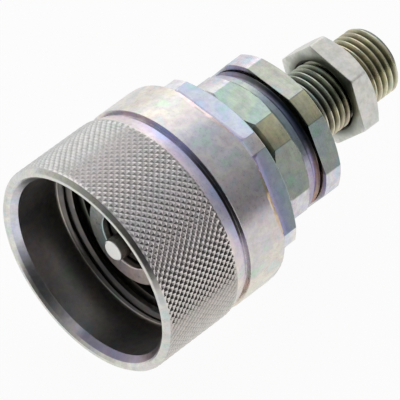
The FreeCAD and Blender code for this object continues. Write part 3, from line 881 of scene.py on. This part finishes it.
def tint_sleeve(station, radius, angle):
    colour = tint_knurl(radius, angle)
    late = shades(angle, BEVEL_END_TINT)
    bevel = blend(shades(angle, BEVEL_TINT), late, share(station, BEVEL_MIX_AT, [0, 1]))
    colour = pick(colour, station > BEHIND_KNURL, bevel)
    colour = pick(colour, station > GROOVE_FROM - NEAR, late * GROOVE_HUE)
    black = blend(colour, GROOVE_BLACK, share(angle, GROOVE_DARK_AT, GROOVE_DARK))
    colour = pick(colour, zone(station, radius, GROOVE_ZONE), black)
    colour = pick(colour, station > BAND_FROM - NEAR, shades(angle, BAND_TINT))
    colour = tint_hexagon_of_sleeve(colour, station, radius, angle)

    inside = np.any([zone(station, radius, limits) for limits in INSIDE_ZONES], axis=0)
    colour = pick(colour, inside, shades(station, BORE_TINT))
    # Painted shade at the thread's start, on the mouth's chamfer and on the rim; a painted highlight on
    # the mouth's edge.
    for limits, tint in (
        (THREAD_START, THREAD_START_TINT),
        (MOUTH_CHAMFER, shades(angle, MOUTH_CHAMFER_TINT)),
        (MOUTH_EDGE, MOUTH_EDGE_TINT),
        (RIM, shades(angle, RIM_TINT)),
        (MOUTH_FACE, MOUTH_FACE_TINT),
    ):
        colour = pick(colour, zone(station, radius, limits), tint)
    smooth = np.where(inside, INSIDE_ROUGHNESS, SLEEVE_ROUGHNESS)
    return colour, np.where(zone(station, radius, KNURLED), KNURL_ROUGHNESS, smooth)


ROUND_TINT = (0.86, 0.86, 0.90)
STREAK_INSET = 1.6


def tint_hexagon(station, angle, front, rear, flats, streak):
    """Flats beyond, flats that face up and down, with painted light and shade, rounded corners, and a
    streak of plating hue and painted sheen on the corner at 0.
    """
    beyond, upper, lower = flats
    middle, corner = facet(angle, 0.0, HEX_HALF_ROUND)
    shade = pick(np.tile(beyond, (len(angle), 1)), (middle > 0) & (middle < 60), upper)
    shade = pick(shade, (middle < 0) & (middle > -60), lower)
    shade = pick(shade, corner, ROUND_TINT)
    streak = np.array(streak)
    # The streak: plating hue with painted sheen, lightest near the rear.
    streak_and_sheen = shades(station, [
        (front, streak * 0.8), (front + STREAK_INSET, streak),
        (rear - STREAK_INSET, streak * 1.25), (rear, streak * 0.9),
    ])
    return pick(shade, corner & (np.abs(angle) < 30), np.minimum(streak_and_sheen, 1.0))


# The flats beyond, above and below the corner at 0: painted light and shade, the lower flats darkest.
# The streak: plating hue with painted sheen.
BODY_FLATS = ((0.60, 0.62, 0.62), (0.56, 0.69, 0.60), (0.48, 0.54, 0.48))
BODY_STREAK = (0.95, 0.95, 0.62)
BODY_HEX_FROM = 48.2
# Painted shadow: the gap under the sleeve's rear end is dark, and the middle row of the hexagon's front
# cone is dark at the corner.
GAP = ((45.0, BODY_CONE_FROM), (0, FAR))
GAP_TINT = (0.10, 0.10, 0.08)
HALF_WAY = ((BODY_CONE_FROM, 47.4), (19.15, 19.7))
HALF_WAY_TINT = (0.30, 0.30, 0.20)
BOSS_END_FROM = 57.8
# The boss: painted shade, darker toward the gap in front of the adapter, where it ends in black.
BOSS_TINT = [
    (54.6, (0.46, 0.50, 0.52)), (55.9, (0.42, 0.46, 0.52)), (56.4, (0.34, 0.36, 0.46)),
    (57.2, (0.20, 0.22, 0.28)), (57.5, (0.46, 0.44, 0.58)), (57.75, (0.30, 0.28, 0.34)),
    (57.85, (0.06, 0.06, 0.06)),
]
# The boss's end beside the adapter: painted shadow, with a warm painted reflection low down.
BOSS_END_TINT = [
    (-70, (0.44, 0.37, 0.28)), (-45, (0.36, 0.29, 0.20)), (-25, (0.10, 0.09, 0.08)),
    (0, (0.05, 0.05, 0.05)), (25, (0.07, 0.07, 0.07)), (60, (0.26, 0.26, 0.30)),
]
# Painted light and shade round the boss: lighter on the sides than at the corner at 0.
BOSS_AROUND = [
    (-80, (1.3, 1.05, 1.15)), (-40, (1.25, 1.1, 1.25)), (-20, (1.05, 1.15, 1.2)),
    (0, (0.9, 1.05, 1.15)), (25, (0.9, 1.0, 1.05)), (45, (1.25, 1.25, 1.05)),
    (65, (1.4, 1.3, 1.45)),
]
NECK_TINT = [(-90, (0.72, 0.62, 0.58)), (0, (0.66, 0.66, 0.62)), (90, (0.64, 0.68, 0.62))]
NECK_TO = 40.0
# Painted shade inside the body, and on the neck's side under the sleeve.
CHAMBER = ((13.7, FAR), (0, 11.4))
CHAMBER_TINT = (0.30, 0.27, 0.24)
NECK_SIDE = ((14.5, 45.0), (12.0, FAR))
NECK_SIDE_TINT = (0.28, 0.28, 0.27)


def tint_body(station, radius, angle):
    shade = tint_hexagon(station, angle, BODY_HEX_FROM, BODY_HEX_END, BODY_FLATS, BODY_STREAK)
    shade = pick(shade, zone(station, radius, GAP), GAP_TINT)
    on_corner = np.abs(angle) < HEX_HALF_ROUND - ROUND_MARGIN / 2
    shade = pick(shade, zone(station, radius, HALF_WAY) & on_corner, HALF_WAY_TINT)
    boss = pick(shades(station, BOSS_TINT), station > BOSS_END_FROM, shades(angle, BOSS_END_TINT))
    shade = pick(shade, station > BODY_HEX_END + NEAR, boss * shades(angle, BOSS_AROUND))
    shade = pick(shade, station < NECK_TO, shades(angle, NECK_TINT))
    shade = pick(shade, zone(station, radius, CHAMBER), CHAMBER_TINT)
    shade = pick(shade, zone(station, radius, NECK_SIDE), NECK_SIDE_TINT)
    return shade, np.full(len(station), BODY_ROUGHNESS)


# The flats beyond, above and below the corner at 0: painted light and shade, the lower flats darkest.
# The streak: plating hue with painted sheen.
ADAPTER_FLATS = ((0.80, 0.84, 0.84), (0.55, 0.59, 0.53), (0.42, 0.48, 0.45))
ADAPTER_STREAK = (0.92, 0.94, 0.62)
SHOULDER = ((64.55, FAR), (9.0, 18.4))
SHOULDER_TINT = (0.74, 0.77, 0.74)
STUD_FOOT = ((64.55, FAR), (0, 8.5))
CREST_TINT = [
    (66, (0.74, 0.84, 0.78)), (79, (0.80, 0.88, 0.70)), (85, (0.98, 0.98, 0.70)),
    (95.2, (1.0, 0.98, 0.72)), (96.2, (0.9, 0.9, 0.86)),
]
# A warm painted highlight on the stud's lower side, ahead of the nut.
WARM_TINT = np.array((0.98, 0.90, 0.66))
WARM_AT = [-80, -35, 0]
WARM = [1, 0.7, 0]
# Painted shade: the crests are darker on top.
UPPER_AT = [15, 40]
UPPER = [1, 0.75]
# Dark roots: partly the plating's own dark and partly painted shade, less past the nut.
ROOT_DARK = 0.88
ROOT_DARK_PAST_NUT = 0.72
CHAMFER_FROM = 95.4


def tint_stud(station, radius, angle):
    """Dark between the crests, partly the plating's own dark and partly painted shade; a little darker
    on top, as painted shade; and a warm painted highlight below, ahead of the nut.
    """
    warm = share(angle, WARM_AT, WARM) * (station < NUT_FRONT)[:, None]
    crest = blend(shades(station, CREST_TINT), WARM_TINT, warm)
    crest = crest * share(angle, UPPER_AT, UPPER)
    depth = np.clip((STUD_R - radius) / (STUD_R - STUD_ROOT), 0, 1)
    dark = np.where(station < CHAMFER_FROM, ROOT_DARK_PAST_NUT, 0.0)
    dark = np.where(station < NUT_REAR, ROOT_DARK, dark)
    return crest * (1 - dark * np.sqrt(depth))[:, None]


def tint_adapter(station, radius, angle):
    shade = tint_hexagon(station, angle, ADAPTER_HEX_FROM, SHOULDER_AT, ADAPTER_FLATS, ADAPTER_STREAK)
    shade = pick(shade, zone(station, radius, SHOULDER), SHOULDER_TINT)
    stud = (station > SHOULDER_AT + 0.1) | zone(station, radius, STUD_FOOT)
    shade = pick(shade, stud, tint_stud(station, radius, angle))
    return shade, np.full(len(station), ADAPTER_ROUGHNESS)


NUT_TINT = (0.86, 0.85, 0.80)
# The front face: painted shade beside the stud, which fades out between the radii of NUT_FACE_AT.
NUT_FRONT_DARK = np.array((0.17, 0.18, 0.14))
NUT_FRONT_TINT = np.array((0.72, 0.75, 0.68))
NUT_FACE_AT = [9.9, 11.8]
NUT_FACE_ZONE = ((-FAR, 79.1), (0, 13.0))
# Painted shade in the nut's thread and on its countersunk rim.
NUT_THREAD = ((79.2, 84.9), (0, 9.65))
NUT_THREAD_TINT = (0.04, 0.04, 0.04)
NUT_RIM = ((-FAR, 79.1), (0, 9.65))
NUT_RIM_TINT = (0.12, 0.12, 0.10)


def tint_nut(station, radius, angle):
    """Painted shade: the front face is dark beside the stud, and the thread and the countersunk rim are
    dark too.
    """
    shade = np.tile(NUT_TINT, (len(station), 1))
    front = blend(NUT_FRONT_DARK, NUT_FRONT_TINT, share(radius, NUT_FACE_AT, [0, 1]))
    for limits, tint in (
        (NUT_FACE_ZONE, front), (NUT_THREAD, NUT_THREAD_TINT), (NUT_RIM, NUT_RIM_TINT),
    ):
        shade = pick(shade, zone(station, radius, limits), tint)
    return shade, np.full(len(station), NUT_ROUGHNESS)


def dress(obj, node, body_name, material, tint):
    paint(obj, tint)
    obj.data.materials.append(material)
    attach(obj, body_name)
    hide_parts(node)


# The four plated pieces.
zinc_sleeve = zinc("zinc_sleeve", cloudy=0.7, stained=0.12)
zinc_body = zinc("zinc_body", turned=0.10)
zinc_adapter = zinc("zinc_adapter", turned=0.08)
zinc_nut = zinc("zinc_nut", cloudy=0.35, stained=0.18)

dress(sleeve(), "coupling_sleeve", "sleeve", zinc_sleeve, tint_sleeve)
dress(body(), "valve_body", "body", zinc_body, tint_body)
dress(adapter(), "bulkhead_adapter", "body", zinc_adapter, tint_adapter)
dress(locknut(), "locknut", "nut", zinc_nut, tint_nut)

# The spring and the solids that show as they are.
steel = plain("plain_steel", (0.62, 0.60, 0.57), 1.0, 0.3)
# The nose: a dark side as painted shade, and a pale front face as painted highlight.
nose = plain("nose_steel", (0.26, 0.24, 0.22), 1.0, 0.3, tip=(0.88, 0.88, 0.85))
wire = plain("spring_wire", (0.36, 0.36, 0.37), 1.0, 0.35)
rubber = plain("seal_rubber", (0.025, 0.025, 0.026), 0.0, 0.55)
plastic = plain("slide_plastic", (0.80, 0.79, 0.74), 0.0, 0.45)
spring().data.materials.append(wire)
for node_name, material in (
    ("poppet_nose", nose), ("poppet_stem", steel), ("valve_guide", steel),
    ("retaining_ring", wire), ("thrust_ring", plastic), ("adapter_backup_ring", plastic),
    ("poppet_seal", rubber), ("sleeve_o_ring", rubber), ("adapter_o_ring", rubber),
):
    NODES[node_name].data.materials.clear()
    NODES[node_name].data.materials.append(material)


# The floor, the light and the camera. Positions here are in metres.
FLOOR_AT = -0.0274
FLOOR_HALF = 3.0
FLOOR_COLOUR = (0.93, 0.93, 0.93, 1)
FLOOR_GLOW = (1, 1, 1, 1)
SEEN_SHARE = 0.95
MIRRORED_SHARE = 0.80

LAMP_AT = Vector((-0.95, 0.60, 0.85))
LAMP_TO = Vector((0, -0.02, 0))
LAMP_SIZE = 1.2
LAMP_POWER = 2.5

SKY_SLOPE = (-0.40, 0.25, 0.0)
SKY_MIDDLE = 0.40
SKY = [(0.04, (0.045, 0.045, 0.045)), (0.50, (0.50, 0.50, 0.505)), (0.90, (0.92, 0.92, 0.92))]

AZIMUTH = math.radians(44.614)
ELEVATION = math.radians(46.974)
LOOKS_AT = Vector((0, -0.020, 0))
DISTANCE = 1.0702
SHIFT_RIGHT = -0.004804
SHIFT_UP = -0.006704
SENSOR = 36.0
FOCAL_PIXELS = 4622.2
IMAGE_PIXELS = 400


def floor():
    """A floor that takes a shadow and looks nearly white to the camera and in the metal."""
    mesh = bpy.data.meshes.new("floor")
    signs = ((-1, -1), (1, -1), (1, 1), (-1, 1))
    corners = [(x * FLOOR_HALF, y * FLOOR_HALF, FLOOR_AT) for x, y in signs]
    mesh.from_pydata(corners, [], [(0, 1, 2, 3)])
    obj = link("floor", mesh)
    mat, tree, shader = nodes_of("floor_white")
    shader.inputs["Base Color"].default_value = FLOOR_COLOUR
    shader.inputs["Roughness"].default_value = 0.9
    shader.inputs["Specular IOR Level"].default_value = 0.0
    glow = tree.nodes.new("ShaderNodeEmission")
    glow.inputs[0].default_value = FLOOR_GLOW
    glow.inputs[1].default_value = 1.0
    path = tree.nodes.new("ShaderNodeLightPath")
    mixed = tree.nodes.new("ShaderNodeMixShader")
    seen = maths(tree, "MULTIPLY", path.outputs["Is Camera Ray"], SEEN_SHARE)
    mirrored = maths(tree, "MULTIPLY", path.outputs["Is Glossy Ray"], MIRRORED_SHARE)
    tree.links.new(maths(tree, "MAXIMUM", seen, mirrored), mixed.inputs[0])
    tree.links.new(shader.outputs[0], mixed.inputs[1])
    tree.links.new(glow.outputs[0], mixed.inputs[2])
    out = next(n for n in tree.nodes if n.type == "OUTPUT_MATERIAL")
    tree.links.new(mixed.outputs[0], out.inputs[0])
    mesh.materials.append(mat)


def sky():
    """Grey shades that give the metal something to mirror: pale on one side, dark on the other."""
    world = bpy.data.worlds.new("studio")
    bpy.context.scene.world = world
    world.use_nodes = True
    tree = world.node_tree
    tree.nodes.clear()
    out = tree.nodes.new("ShaderNodeOutputWorld")
    back = tree.nodes.new("ShaderNodeBackground")
    coord = tree.nodes.new("ShaderNodeTexCoord")
    slope = tree.nodes.new("ShaderNodeVectorMath")
    slope.operation = "DOT_PRODUCT"
    slope.inputs[1].default_value = SKY_SLOPE
    tree.links.new(coord.outputs["Generated"], slope.inputs[0])
    level = maths(tree, "ADD", slope.outputs["Value"], SKY_MIDDLE)
    tree.links.new(ramp(tree, level, SKY), back.inputs[0])
    back.inputs[1].default_value = 1.0
    tree.links.new(back.outputs[0], out.inputs[0])


def lamp():
    data = bpy.data.lights.new("soft_back", "AREA")
    data.shape = "RECTANGLE"
    data.size = LAMP_SIZE
    data.size_y = LAMP_SIZE
    data.energy = LAMP_POWER
    obj = link("soft_back", data)
    obj.location = LAMP_AT
    obj.rotation_euler = (LAMP_TO - LAMP_AT).to_track_quat("-Z", "Y").to_euler()


def camera():
    right = Vector((math.cos(AZIMUTH), math.sin(AZIMUTH), 0))
    level = math.cos(ELEVATION)
    toward = Vector((math.sin(AZIMUTH) * level, -math.cos(AZIMUTH) * level, math.sin(ELEVATION)))
    up = toward.cross(right)
    data = bpy.data.cameras.new("camera")
    data.sensor_width = SENSOR
    data.lens = FOCAL_PIXELS / IMAGE_PIXELS * SENSOR
    data.clip_start = 0.05
    data.clip_end = 20
    obj = link("camera", data)
    obj.location = LOOKS_AT + toward * DISTANCE + right * SHIFT_RIGHT + up * SHIFT_UP
    obj.rotation_euler = Matrix((right, up, toward)).transposed().to_euler()
    bpy.context.scene.camera = obj


floor()
sky()
lamp()
camera()

bpy.context.scene.view_settings.view_transform = "Standard"
